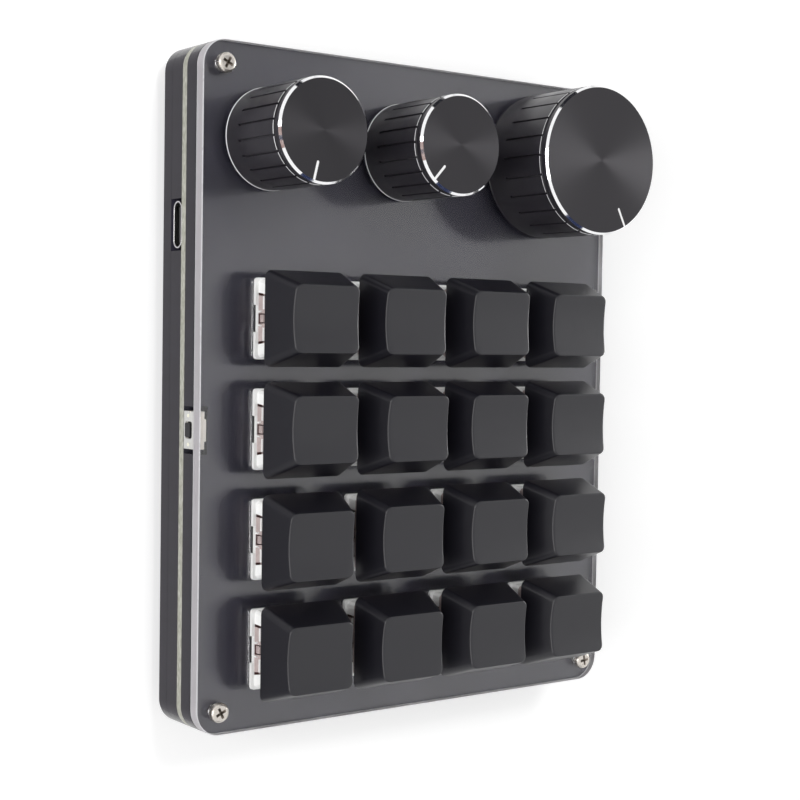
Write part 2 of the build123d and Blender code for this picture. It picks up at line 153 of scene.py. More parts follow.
def cross_outline(span, width):
    """A cross with equal arms."""
    a, b = span / 2, width / 2
    return [
        (a, -b), (a, b), (b, b), (b, a), (-b, a), (-b, b),
        (-a, b), (-a, -b), (-b, -b), (-b, -a), (b, -a), (b, -b),
    ]


# Meshes


def add_ring(bm, points):
    """One closed ring of vertices."""
    return [bm.verts.new(point) for point in points]


def level_ring(bm, outline, z):
    """A ring from an outline at a height."""
    return add_ring(bm, [(x, y, z) for x, y in outline])


def join_rings(bm, rings, materials=None):
    """Strips of quads between each ring and the next, with one material index for each strip."""
    strips = []
    for step, (low, high) in enumerate(zip(rings, rings[1:])):
        strip = []
        for i in range(len(low)):
            j = (i + 1) % len(low)
            strip.append(bm.faces.new((low[i], low[j], high[j], high[i])))
            strip[-1].material_index = materials[step] if materials else 0
        strips.append(strip)
    return strips


def add_prism(
    bm, outlines, z0, z1, bevel=0.0, material=0, side_material=None, rim_material=None, segments=2,
):
    """Extrudes the first outline, with the others as holes, and rounds its rims."""
    side_material = material if side_material is None else side_material
    rim_material = side_material if rim_material is None else rim_material
    edges = []
    for outline in outlines:
        verts = [bm.verts.new((x, y, z0)) for x, y in outline]
        edges += [bm.edges.new((verts[i - 1], verts[i])) for i in range(len(verts))]
    filled = bmesh.ops.triangle_fill(bm, use_beauty=True, edges=edges)
    base = [item for item in filled["geom"] if isinstance(item, bmesh.types.BMFace)]
    raised = bmesh.ops.extrude_face_region(bm, geom=base)
    verts = [item for item in raised["geom"] if isinstance(item, bmesh.types.BMVert)]
    bmesh.ops.translate(bm, verts=verts, vec=(0, 0, z1 - z0))
    faces = set(base) | {face for vert in verts for face in vert.link_faces}
    bmesh.ops.recalc_face_normals(bm, faces=list(faces))
    walls = {face for face in faces if abs(face.normal.z) < 0.5}
    for face in faces:
        face.material_index = side_material if face in walls else material
    if bevel:
        rims = {
            edge
            for face in walls
            for edge in face.edges
            if len(edge.link_faces) == 2 and not walls.issuperset(edge.link_faces)
        }
        bmesh.ops.bevel(
            bm, geom=list(rims), offset=bevel, segments=segments, profile=0.5, affect="EDGES",
            clamp_overlap=True, material=rim_material,
        )


def turned_rings(bm, profile, steps):
    """A ring round Z for each (radius, z) point of a profile."""
    return [level_ring(bm, circle(radius, steps), z) for radius, z in profile]


def make_mesh(name, bm, materials, sharp=35.0, matrix=None):
    """Turns a bmesh in millimetres into a mesh in metres, smooth up to the sharp angle."""
    if matrix:
        bm.transform(matrix)
    bmesh.ops.recalc_face_normals(bm, faces=bm.faces[:])
    mesh = bpy.data.meshes.new(name)
    bm.to_mesh(mesh)
    bm.free()
    mesh.transform(Matrix.Scale(mm, 4))
    for material in materials:
        mesh.materials.append(material)
    mesh.shade_smooth()
    mesh.set_sharp_from_angle(angle=math.radians(sharp))
    return mesh


def add_piece(name, mesh, body, node, at=(0.0, 0.0), even=False, turn=0.0):
    """Places a mesh, turned by some degrees, as a piece that rides on a body and stands for a node."""
    piece = bpy.data.objects.new(name, mesh)
    piece.location = Vector((*at, 0)) * mm
    piece.rotation_euler.z = math.radians(turn)
    scene.collection.objects.link(piece)
    if even:
        piece.modifiers.new("even_normals", "WEIGHTED_NORMAL").keep_sharp = True
    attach(piece, body)
    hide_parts(node)
    return piece


# Materials


def combine(tree, operation, *values):
    """A math node over outputs of other nodes and constants."""
    made = tree.nodes.new("ShaderNodeMath")
    made.operation = operation
    for socket, value in zip(made.inputs, values):
        if isinstance(value, float):
            socket.default_value = value
        else:
            tree.links.new(value, socket)
    return made.outputs[0]


def map_range(tree, value, start, end, low, high):
    """Maps the range from start to end of a value to low and high."""
    made = tree.nodes.new("ShaderNodeMapRange")
    for socket, limit in zip(("From Min", "From Max", "To Min", "To Max"), (start, end, low, high)):
        made.inputs[socket].default_value = limit
    tree.links.new(value, made.inputs["Value"])
    return made.outputs["Result"]


class Finish:
    """A material whose shader gets its texture nodes one by one."""

    def __init__(self, name, colour, roughness, metallic=0.0, **sockets):
        self.material = bpy.data.materials.new(name)
        self.material.use_nodes = True
        self.tree = self.material.node_tree
        self.links = self.tree.links
        self.shader = self.tree.nodes["Principled BSDF"]
        self.shader.inputs["Base Color"].default_value = (*colour, 1.0)
        self.shader.inputs["Roughness"].default_value = roughness
        self.shader.inputs["Metallic"].default_value = metallic
        for socket, value in sockets.items():
            self.shader.inputs[socket.replace("_", " ")].default_value = value
        self.coordinates = self.node("ShaderNodeTexCoord").outputs["Object"]
        self.colour = colour

    def node(self, kind, **settings):
        """A new node with some settings."""
        made = self.tree.nodes.new(kind)
        for setting, value in settings.items():
            setattr(made, setting, value)
        return made

    def feed(self, socket, output):
        """Links an output to an input of the shader."""
        self.links.new(output, self.shader.inputs[socket])
        return self

    def noise(self, size, detail=3.0, stretch=(1.0, 1.0, 1.0)):
        """Noise with features of the given size in millimetres, stretched along some axes."""
        mapping = self.node("ShaderNodeMapping")
        mapping.inputs["Scale"].default_value = [1 / part for part in stretch]
        noise = self.node("ShaderNodeTexNoise")
        noise.inputs["Scale"].default_value = 1 / (size * mm)
        noise.inputs["Detail"].default_value = detail
        self.links.new(self.coordinates, mapping.inputs["Vector"])
        self.links.new(mapping.outputs["Vector"], noise.inputs["Vector"])
        return noise.outputs["Fac"]

    def spread(self, value, low, high, middle=(0.3, 0.7)):
        """Maps a texture's middle range to low and high."""
        return map_range(self.tree, value, *middle, low, high)

    def blend(self, factor, colour_a, colour_b):
        """A colour between two, by a factor."""
        mix = self.node("ShaderNodeMix", data_type="RGBA")
        self.links.new(factor, mix.inputs[0])
        for socket, colour in ((6, colour_a), (7, colour_b)):
            if isinstance(colour, tuple):
                mix.inputs[socket].default_value = (*colour, 1.0)
            else:
                self.links.new(colour, mix.inputs[socket])
        return mix.outputs[2]

    def mottled(self, size, amount, stretch=(1.0, 1.0, 1.0)):
        """Base colour that drifts lighter and darker by a share."""
        factor = self.spread(self.noise(size, 3.0, stretch), 0.0, 1.0)
        dark = tuple(part * (1 - amount) for part in self.colour)
        light = tuple(min(part * (1 + amount), 1.0) for part in self.colour)
        return self.feed("Base Color", self.blend(factor, dark, light))

    def rubbed(self, size, low, high, stretch=(1.0, 1.0, 1.0)):
        """Roughness that drifts between two values."""
        return self.feed("Roughness", self.spread(self.noise(size, 4.0, stretch), low, high))

    def bumped(self, height, depth, strength=1.0):
        """Relief from a texture, with its depth in millimetres."""
        bump = self.node("ShaderNodeBump")
        bump.inputs["Strength"].default_value = strength
        bump.inputs["Distance"].default_value = depth * mm
        self.links.new(height, bump.inputs["Height"])
        return self.feed("Normal", bump.outputs["Normal"])

    def grained(self, size, depth, stretch=(1.0, 1.0, 1.0)):
        """Fine relief."""
        return self.bumped(self.noise(size, 2.0, stretch), depth)


def clear_acrylic():
    """Clear cast sheet with a satin face, which blurs what it mirrors."""
    finish = Finish("clear_acrylic_face", (1.0, 1.0, 1.0), 0.3, Transmission_Weight=1.0, IOR=1.55)
    return finish.rubbed(6.0, 0.10, 0.14).material


def clear_acrylic_edge():
    """The cut edge of the clear sheet, satin from the cutter, with a painted highlight along its lower rim.
    """
    edge, painted_highlight = (0.66, 0.63, 0.66), (0.90, 0.90, 0.90)
    # A painted highlight: a pale line along the lower rim, which fades out between these heights above the
    # sheet's underside
    highlight_full, highlight_end = 0.3, 0.42
    finish = Finish("clear_acrylic_edge", edge, 0.35, Transmission_Weight=0.4, IOR=1.49)
    place = finish.node("ShaderNodeSeparateXYZ")
    finish.links.new(finish.coordinates, place.inputs["Vector"])
    band = ((clear_z + highlight_end) * mm, (clear_z + highlight_full) * mm)
    share = finish.spread(place.outputs["Z"], 0.0, 1.0, band)
    drift = finish.spread(finish.noise(9.0), 0.0, 1.0)
    body = finish.blend(drift, tuple(part * 0.95 for part in edge), edge)
    finish.feed("Base Color", finish.blend(share, body, painted_highlight))
    return finish.grained(0.5, 0.002, stretch=(1.0, 1.0, 12.0)).material


def clear_acrylic_rim():
    """The broken corner of the clear sheet, which catches the light as a thin line."""
    finish = Finish("clear_acrylic_rim", (0.70, 0.69, 0.71), 0.3, Transmission_Weight=0.15, IOR=1.49)
    return finish.mottled(3.0, 0.04).rubbed(2.0, 0.25, 0.4).material


def black_acrylic():
    """Gloss black sheet."""
    finish = Finish("black_acrylic_face", (0.033, 0.031, 0.050), 0.5, IOR=1.49)
    return finish.mottled(9.0, 0.02).rubbed(12.0, 0.45, 0.55).material


def black_acrylic_edge():
    """The cut edge of the black sheet, with faint upright lines."""
    finish = Finish("black_acrylic_edge", (0.007, 0.006, 0.010), 0.2, IOR=1.49)
    finish.mottled(2.0, 0.25, stretch=(1.0, 1.0, 3.0))
    finish.rubbed(1.5, 0.14, 0.26, stretch=(1.0, 1.0, 0.2))
    return finish.grained(0.22, 0.004, stretch=(1.0, 1.0, 14.0)).material


def board():
    """Dark solder mask on the faces, pale glass fibre layers on the edge."""
    mask, edge_light, edge_dark = (0.027, 0.026, 0.038), (0.50, 0.50, 0.44), (0.26, 0.26, 0.20)
    finish = Finish("board", mask, 0.35)
    layers = finish.spread(finish.noise(0.35, 4.0, stretch=(3.0, 3.0, 1.0)), 0.0, 1.0)
    edge = finish.blend(layers, edge_dark, edge_light)
    normal = finish.node("ShaderNodeSeparateXYZ")
    geometry = finish.node("ShaderNodeNewGeometry")
    finish.links.new(geometry.outputs["Normal"], normal.inputs["Vector"])
    level = combine(finish.tree, "ABSOLUTE", normal.outputs["Z"])
    on_face = combine(finish.tree, "GREATER_THAN", level, 0.5)
    finish.feed("Base Color", finish.blend(on_face, edge, mask))
    return finish.grained(0.3, 0.004).material


def plain_plastic(name, colour, roughness, grain=0.15, depth=0.002, drift=0.08, wear=0.15, **sockets):
    """Moulded plastic with a fine grain and a slight drift of colour and gloss."""
    finish = Finish(name, colour, roughness, **sockets)
    finish.mottled(4.0, drift).rubbed(2.5, roughness * (1 - wear), roughness * (1 + wear))
    return finish.grained(grain, depth).material


def metal(name, colour, roughness, drift=0.06, grain=0.2, depth=0.001, stretch=(1.0, 1.0, 1.0)):
    """Bare or plated metal with fine marks."""
    finish = Finish(name, colour, roughness, 1.0)
    finish.mottled(1.5, drift).rubbed(0.8, roughness * 0.7, roughness * 1.4, stretch)
    return finish.grained(grain, depth, stretch=stretch).material


def turned_face():
    """Black anodised end face with concentric tool marks."""
    finish = Finish(
        "knob_face", (0.052, 0.050, 0.054), 0.34, 1.0, Anisotropic=0.8, Anisotropic_Rotation=0.25
    )
    tangent = finish.node("ShaderNodeTangent", direction_type="RADIAL", axis="Z")
    finish.feed("Tangent", tangent.outputs["Tangent"])
    rings = finish.node("ShaderNodeTexWave", wave_type="RINGS", rings_direction="Z")
    # At scale 1 the wave texture turns by 20 radians in each metre
    ring_pitch, wave_rate = 0.16, 20
    rings.inputs["Scale"].default_value = 2 * math.pi / (wave_rate * ring_pitch * mm)
    rings.inputs["Distortion"].default_value = 0.4
    finish.links.new(finish.coordinates, rings.inputs["Vector"])
    return finish.bumped(rings.outputs["Fac"], 0.0008, 0.6).material


clear_face, clear_edge, clear_rim = clear_acrylic(), clear_acrylic_edge(), clear_acrylic_rim()
black_face, black_edge = black_acrylic(), black_acrylic_edge()
board_finish = board()
nickel = metal("nickel_plate", (0.64, 0.60, 0.55), 0.28)
# Nickel darkened for the screws' cross recesses: painted shade.
recess_shade_metal = metal("recess_shade_metal", (0.24, 0.21, 0.18), 0.45)
thread_metal = metal("thread", (0.55, 0.53, 0.49), 0.35, stretch=(8.0, 8.0, 1.0))
rubber = plain_plastic("rubber", (0.02, 0.02, 0.02), 0.75, grain=0.3, depth=0.01)
switch_white = plain_plastic("switch_white", (0.93, 0.93, 0.92), 0.35, drift=0.01)
switch_milky = plain_plastic("switch_milky", (0.50, 0.41, 0.40), 0.28)
# Dark brown for the switch housings' slots: painted shade in the recesses.
slot_shade = plain_plastic("slot_shade", (0.07, 0.022, 0.02), 0.5)
# Near-black for painted shade under the switches' flanges and in the gaps beside their bodies.
painted_shade = plain_plastic("painted_shade", (0.02, 0.02, 0.02), 0.6)
stem_plastic = plain_plastic("stem_plastic", (0.42, 0.42, 0.44), 0.4)
keycap_plastic = plain_plastic(
    "keycap_plastic", (0.0064, 0.006, 0.0096), 0.36, grain=0.12, drift=0.03, wear=0.04, IOR=1.54
)
spring_steel = metal("spring_steel", (0.62, 0.62, 0.61), 0.25)
contact_metal = metal("contact_metal", (0.80, 0.66, 0.38), 0.3)
knob_black = plain_plastic("knob_black", (0.020, 0.018, 0.023), 0.34, grain=0.1, depth=0.001)
knob_face = turned_face()
knob_polish = metal("knob_polish", (0.93, 0.93, 0.94), 0.07, drift=0.02)
knob_edge = metal("knob_edge", (0.6, 0.6, 0.61), 0.4)
# Pale paint on the knobs' foot ring: a painted highlight.
knob_foot_highlight = plain_plastic("knob_foot_highlight", (0.75, 0.75, 0.77), 0.35, drift=0.03)
pointer_paint = plain_plastic("pointer_paint", (0.90, 0.90, 0.90), 0.5, drift=0.02)
shaft_metal = metal("shaft_metal", (0.6, 0.6, 0.6), 0.3, stretch=(1.0, 1.0, 0.1))
rotor_plastic = plain_plastic("rotor_plastic", (0.10, 0.10, 0.10), 0.45)
can_metal = metal("can_metal", (0.66, 0.66, 0.65), 0.3)
encoder_plastic = plain_plastic("encoder_plastic", (0.03, 0.03, 0.03), 0.5)
socket_chrome = metal("socket_chrome", (0.80, 0.80, 0.79), 0.16, drift=0.03)
socket_plastic = plain_plastic("socket_plastic", (0.02, 0.02, 0.02), 0.4)
button_cream = plain_plastic("button_cream", (0.92, 0.87, 0.80), 0.4, drift=0.03)
button_cover = plain_plastic("button_cover", (0.58, 0.58, 0.56), 0.3, drift=0.03)
button_stake = plain_plastic("button_stake", (0.88, 0.86, 0.72), 0.3, drift=0.03)
plunger_plastic = plain_plastic("plunger_plastic", (0.014, 0.014, 0.015), 0.4)
chip_plastic = plain_plastic("chip_plastic", (0.02, 0.02, 0.02), 0.55)

for node, material in {
    "circuit_board": board_finish,
    "corner_nuts": nickel,
    "switch_pins": contact_metal,
    "encoder_housings": can_metal,
    "encoder_bases": encoder_plastic,
    "usb_socket_tongue": socket_plastic,
    "board_chips": chip_plastic,
    **{f"stem_{key}": stem_plastic for key in key_names},
    **{f"encoder_shaft_{side}": shaft_metal for side in knob_names},
    **{f"encoder_rotor_{side}": rotor_plastic for side in knob_names},
}.items():
    solid = frame["nodes"][node]
    if not solid.material_slots:
        solid.data.materials.append(material)
    for material_slot in solid.material_slots:
        material_slot.material = material


# Plates

plate_corner = 5.0
plate_bevel = 0.06
clear_bevel = 0.18
# Bed of air between the clear and the black plate, so that each has its own reflection
air_gap = 0.03
# The clear face ends a hair below the switches' flanges, which rest on it
face_gap = 0.01
screw_inset = 4.5
screw_hole_radius = 1.2
switch_hole = 14.0
encoder_hole = (12.1, 12.4)


def corners_inside(inset):
    """The point near each corner of the plate at an inset from both of its edges."""
    x, y = plate_x / 2 - inset, plate_y / 2 - inset
    return [(side * x, end * y) for side in (-1, 1) for end in (-1, 1)]


def plate_outline():
    """The rounded outline of every plate."""
    return rounded_rectangle(plate_x, plate_y, plate_corner, corner_steps=16)


def screw_holes():
    """The four holes of the corner screws."""
    return [circle(screw_hole_radius, 24, point) for point in corners_inside(screw_inset)]


def control_holes():
    """The holes of the key switches and encoders."""
    holes = [rectangle(switch_hole, switch_hole, point) for point in key_points.values()]
    return holes + [rectangle(*encoder_hole, point) for point in knob_points.values()]


def notched(outline, *sizes):
    """An outline with a notch in its straight left side."""
    sides = notch(*sizes)
    start = left_side_start(outline, sides[0][0])
    return outline[:start] + sides + outline[start:]


def plate_piece(name, outlines, z0, z1, materials, node, bevel=plate_bevel, clear_holes=False):
    """One flat plate with rounded rims, in the last of the materials."""
    bm = bmesh.new()
    add_prism(bm, outlines, z0, z1, bevel, side_material=1, rim_material=len(materials) - 1)
    if clear_holes:
        border = 2.0
        for face in bm.faces:
            middle = face.calc_center_median()
            if abs(middle.x) < plate_x / 2 - border and abs(middle.y) < plate_y / 2 - border:
                face.material_index = 0
    add_piece(name, make_mesh(name, bm, materials), "root", node, even=True)


button_low, button_high = box_mm("side_button_housing")
button_y = (button_low.y + button_high.y) / 2
button_notch = (8.9, 2.45)
usb_low, usb_high = box_mm("usb_socket_shell")
usb_y = (usb_low.y + usb_high.y) / 2
usb_z = (usb_low.z + usb_high.z) / 2
usb_notch_width = 9.8
spacer_wall = 6.0
spacer_pad_radius = 4.5


def spacer_opening():
    """The inside of the spacer frame, with a round pad left at each screw."""
    x, y = plate_x / 2 - screw_inset, plate_y / 2 - screw_inset
    trim = math.asin((spacer_wall - screw_inset) / spacer_pad_radius)
    points = []
    for quarter, centre in enumerate(((-x, -y), (x, -y), (x, y), (-x, y))):
        turn = quarter * math.pi / 2
        points += arc(centre, spacer_pad_radius, turn + math.pi / 2 - trim, turn + trim, 8)
    return points


def spacer_outline():
    """Outer and inner edge of the spacer frame as one outline, joined at the sides of the socket's mouth."""
    outer = plate_outline()
    start = left_side_start(outer, plate_low.x)
    mouth = notch(plate_low.x, usb_y, usb_notch_width, spacer_wall)
    return outer[start:] + outer[:start] + mouth[:2] + spacer_opening()[::-1] + mouth[2:]


plate_piece(
    "clear_plate", [plate_outline()] + screw_holes() + control_holes(), clear_z + air_gap, top_z - face_gap,
    [clear_face, clear_edge, clear_rim], "clear_top_plate", bevel=clear_bevel,
    clear_holes=True,
)
switch_plate_outline = notched(plate_outline(), plate_low.x, button_y, *button_notch)
for node, outlines, z0, z1 in (
    ("switch_plate", [switch_plate_outline] + screw_holes() + control_holes(), black_z, clear_z),
    ("rear_plate", [plate_outline()] + screw_holes(), rear_z, spacer_z),
    ("spacer_frame", [spacer_outline()] + screw_holes(), spacer_z, board_z),
):
    plate_piece(f"black_{node}", outlines, z0, z1, [black_face, black_edge], node)


# Corner screws and feet

screw_z, screw_top = z_range("corner_screws")
screw_head_radius = 1.9
screw_head_rounding = 0.6
screw_shank_radius = 1.0
# Span, arm width and depth of the cross recess at its lip, below the lip and at its bottom
recess_sizes = [(2.2, 0.55, 0.0), (2.06, 0.43, 0.08), (0.99, 0.275, 0.7)]


def screw_mesh():
    """Pan head with a tapered cross recess, and the shank down to the nut."""
    bm = bmesh.new()
    steps = 48
    head, thread, recess = range(3)
    tip = 0.25
    head_gap, head_chamfer = 0.02, 0.08
    profile = [
        (screw_shank_radius - tip, screw_z),
        (screw_shank_radius, screw_z + tip),
        (screw_shank_radius, top_z + head_gap),
        (screw_head_radius - head_chamfer, top_z + head_gap),
        (screw_head_radius, top_z + head_gap + head_chamfer),
    ]
    rounding_centre = (screw_head_radius - screw_head_rounding, screw_top - screw_head_rounding)
    profile += arc(rounding_centre, screw_head_rounding, 0.0, math.pi / 2, 6)
    rings = turned_rings(bm, profile, steps)
    join_rings(bm, rings, [thread, thread] + [head] * (len(rings) - 3))
    bm.faces.new(rings[0]).material_index = thread
    lip, wall, bottom = [
        level_ring(bm, cross_outline(span, width), screw_top - depth) for span, width, depth in recess_sizes
    ]
    edges = [bm.edges.get((rings[-1][i - 1], rings[-1][i])) for i in range(steps)]
    edges += [bm.edges.new((lip[i - 1], lip[i])) for i in range(len(lip))]
    bmesh.ops.triangle_fill(bm, use_beauty=True, edges=edges)
    # The recess's walls and bottom take the darkened nickel, as painted shade.
    join_rings(bm, [lip, wall, bottom], [recess, recess])
    bm.faces.new(bottom).material_index = recess
    return make_mesh("corner_screw", bm, [nickel, thread_metal, recess_shade_metal], sharp=40)


screw = screw_mesh()
for number, (point, turn) in enumerate(zip(corners_inside(screw_inset), (25, 62, 8, 40)), 1):
    add_piece(f"corner_screw_{number}", screw, "root", "corner_screws", point, turn=turn)

foot_inset = 13.0
foot_radius = 4.5


def foot_mesh():
    """Tapered foot with a soft edge round its sole."""
    bm = bmesh.new()
    steps = 48
    sole_radius = foot_radius - 0.6
    rings = turned_rings(
        bm,
        [(sole_radius - 0.35, 0), (sole_radius - 0.1, 0.06), (sole_radius, 0.25),
         (foot_radius - 0.08, rear_z - 0.15), (foot_radius, rear_z)],
        steps,
    )
    join_rings(bm, rings)
    for ring, z in ((rings[0], 0), (rings[-1], rear_z)):
        centre = bm.verts.new((0, 0, z))
        for i in range(steps):
            bm.faces.new((centre, ring[i - 1], ring[i]))
    return make_mesh("rubber_foot", bm, [rubber])


foot = foot_mesh()
for number, point in enumerate(corners_inside(foot_inset), 1):
    add_piece(f"rubber_foot_{number}", foot, "root", "rubber_feet", point)


# Keycaps

cap_low, cap_high = box_mm("keycap_r1c1")
cap_z = cap_low.z
cap_height = cap_high.z - cap_z
cap_base = cap_high.x - cap_low.x
cap_base_corner = 1.5
cap_top_corner = 1.4
cap_top = (14.1, 12.55)
# How far each cap's top stands to +X and +Y of its base, row by row: pressed-on caps sit a little askew
cap_leans = [
    [(0.4, 0.0), (-0.2, -0.1), (0.05, 0.0), (-0.05, -0.1)],
    [(0.55, 0.4), (0.85, 0.2), (0.15, 0.2), (0.25, 0.2)],
    [(-0.05, -0.3), (0.1, -0.1), (0.75, -0.1), (1.0, 0.1)],
    [(0.0, -0.45), (0.25, -0.4), (0.65, -0.2), (0.95, -0.1)],
]
cap_wall = 1.1
cap_roof = 1.5
dish_depth = 0.7
dish_radius = ((cap_top[1] / 2) ** 2 + dish_depth**2) / (2 * dish_depth)
rim_rounding = 0.28
hollow_corner = 0.6
boss = (5.6, 5.0)
boss_recess = 0.4
socket_span = 4.1
socket_arm = 1.35


def dish_z(y):
    """Height of the dished top, whose valley runs along X."""
    return cap_high.z - dish_depth + dish_radius - math.sqrt(dish_radius**2 - y**2)


def keycap_mesh(name, lean):
    """One tapered shell with a rounded rim, a dished top, a hollow below and the boss inside it."""
    bm = bmesh.new()
    steps = {"corner_steps": 7, "side_steps": 9}
    base = rounded_rectangle(cap_base, cap_base, cap_base_corner, **steps)
    top = rounded_rectangle(*cap_top, cap_top_corner, centre=lean, **steps)
    inset_size = [size - 2 * rim_rounding for size in cap_top]
    inset = rounded_rectangle(*inset_size, cap_top_corner - rim_rounding, centre=lean, **steps)

    def wall(index, z):
        """Point of the outer wall at a height."""
        share = (z - cap_z) / cap_height
        (x0, y0), (x1, y1) = base[index], top[index]
        return Vector((x0 + (x1 - x0) * share, y0 + (y1 - y0) * share, z))

    # The wall leans, so the height at which it meets the dish is found in a few passes
    corner, start, end = [], [], []
    for i, (x, y) in enumerate(inset):
        z = cap_high.z
        for _ in range(4):
            z = dish_z(wall(i, z).y - lean[1])
        corner.append(wall(i, z))
        start.append(wall(i, z - rim_rounding))
        end.append(Vector((x, y, dish_z(y - lean[1]))))

    roof_z = cap_high.z - dish_depth - cap_roof
    taper = (roof_z - cap_z) / cap_height
    hollow = cap_base - 2 * cap_wall
    roof_size = [hollow - (cap_base - size) * taper for size in cap_top]
    roof = rounded_rectangle(*roof_size, hollow_corner, centre=(lean[0] * taper, lean[1] * taper), **steps)
    mouth = rounded_rectangle(hollow, hollow, hollow_corner, **steps)
    foot_rounding = 0.1
    lower_side = cap_base - 2 * foot_rounding
    lower = rounded_rectangle(lower_side, lower_side, cap_base_corner, **steps)
    middle_z = cap_z + cap_height / 2
    rings = [
        level_ring(bm, roof, roof_z),
        level_ring(bm, mouth, cap_z),
        level_ring(bm, lower, cap_z),
        *[add_ring(bm, [wall(i, z) for i in range(len(base))]) for z in (cap_z + foot_rounding, middle_z)],
    ]
    rim_steps = 5
    for step in range(rim_steps + 1):
        t = step / rim_steps
        curve = [
            a * (1 - t) ** 2 + b * 2 * t * (1 - t) + c * t**2 for a, b, c in zip(start, corner, end)
        ]
        rings.append(add_ring(bm, curve))
    for share in (0.8, 0.6, 0.4, 0.2):
        shrunk = [((x - lean[0]) * share, (y - lean[1]) * share) for x, y in inset]
        rings.append(add_ring(bm, [(x + lean[0], y + lean[1], dish_z(y)) for x, y in shrunk]))
    join_rings(bm, rings)
    bm.faces.new(rings[0])
    bm.faces.new(rings[-1])
    socket = cross_outline(socket_span, socket_arm)
    in_roof = 0.3
    add_prism(bm, [rectangle(*boss), socket], cap_z + boss_recess, roof_z + in_roof)
    return make_mesh(name, bm, [keycap_plastic], sharp=38)


for key, point in key_points.items():
    lean = cap_leans[int(key[1]) - 1][int(key[3]) - 1]
    cap = keycap_mesh(f"keycap_{key}_shell", lean)
    add_piece(f"cap_{key}", cap, f"key_{key}", f"keycap_{key}", point, even=True)


# Key switches

base_z = z_range("switch_bases")[0]
upper_z, upper_top = z_range("switch_tops")
spring_low, spring_high = box_mm("switch_springs")
spring_length = spring_high.z - spring_low.z
body_z = top_z - 5.0
floor_z = body_z + 1.0
body_side = 13.9
flange_side = 15.4
flange_corner = 0.6
flange_step = (0.25, 0.25)
body_corner = 0.4
cavity_side = 11.9
flange_notch = (5.1, 0.45)
post_radius = 2.0


def flange_outline():
    """The flange's square with small round corners and a shallow notch in its left and right side."""
    outline = rounded_rectangle(flange_side, flange_side, flange_corner, corner_steps=5)
    left = (-flange_side / 2, 0.0, *flange_notch)
    return notched(outline, *left) + [(-x, -y) for x, y in notch(*left)]


def switch_base_mesh():
    """Lower housing: flange, hollow body and the post in the board."""
    bm = bmesh.new()
    white, shade = range(2)
    overlap = 0.01
    cavity = rectangle(cavity_side, cavity_side)
    setback, rise = flange_step
    step_side = flange_side - 2 * setback
    step = rounded_rectangle(step_side, step_side, body_corner, 4)
    body = rounded_rectangle(body_side, body_side, body_corner, 4)
    add_prism(bm, [flange_outline(), cavity], top_z + rise, upper_z, bevel=0.1, material=white)
    # A set-back step under the flange, in near-black: a painted shadow under its rim.
    add_prism(bm, [step, cavity], top_z, top_z + rise + overlap, material=shade)
    add_prism(bm, [body, cavity], floor_z, top_z + overlap)
    add_prism(bm, [body], body_z, floor_z, bevel=0.3)
    add_prism(bm, [circle(post_radius, 28)], base_z, body_z + overlap, bevel=0.2)
    # A thin near-black sheet along each side of the body: painted shade in the gap beside it.
    shade_sheet, shade_sheet_low, shade_sheet_gap = (0.03, body_side - 1.0), 0.5, 0.02
    for side in (-1, 1):
        outline = rectangle(*shade_sheet, (side * (body_side + shade_sheet[0]) / 2, 0))
        add_prism(bm, [outline], floor_z + shade_sheet_low, top_z - shade_sheet_gap, material=shade)
    return make_mesh("switch_base", bm, [switch_white, painted_shade])


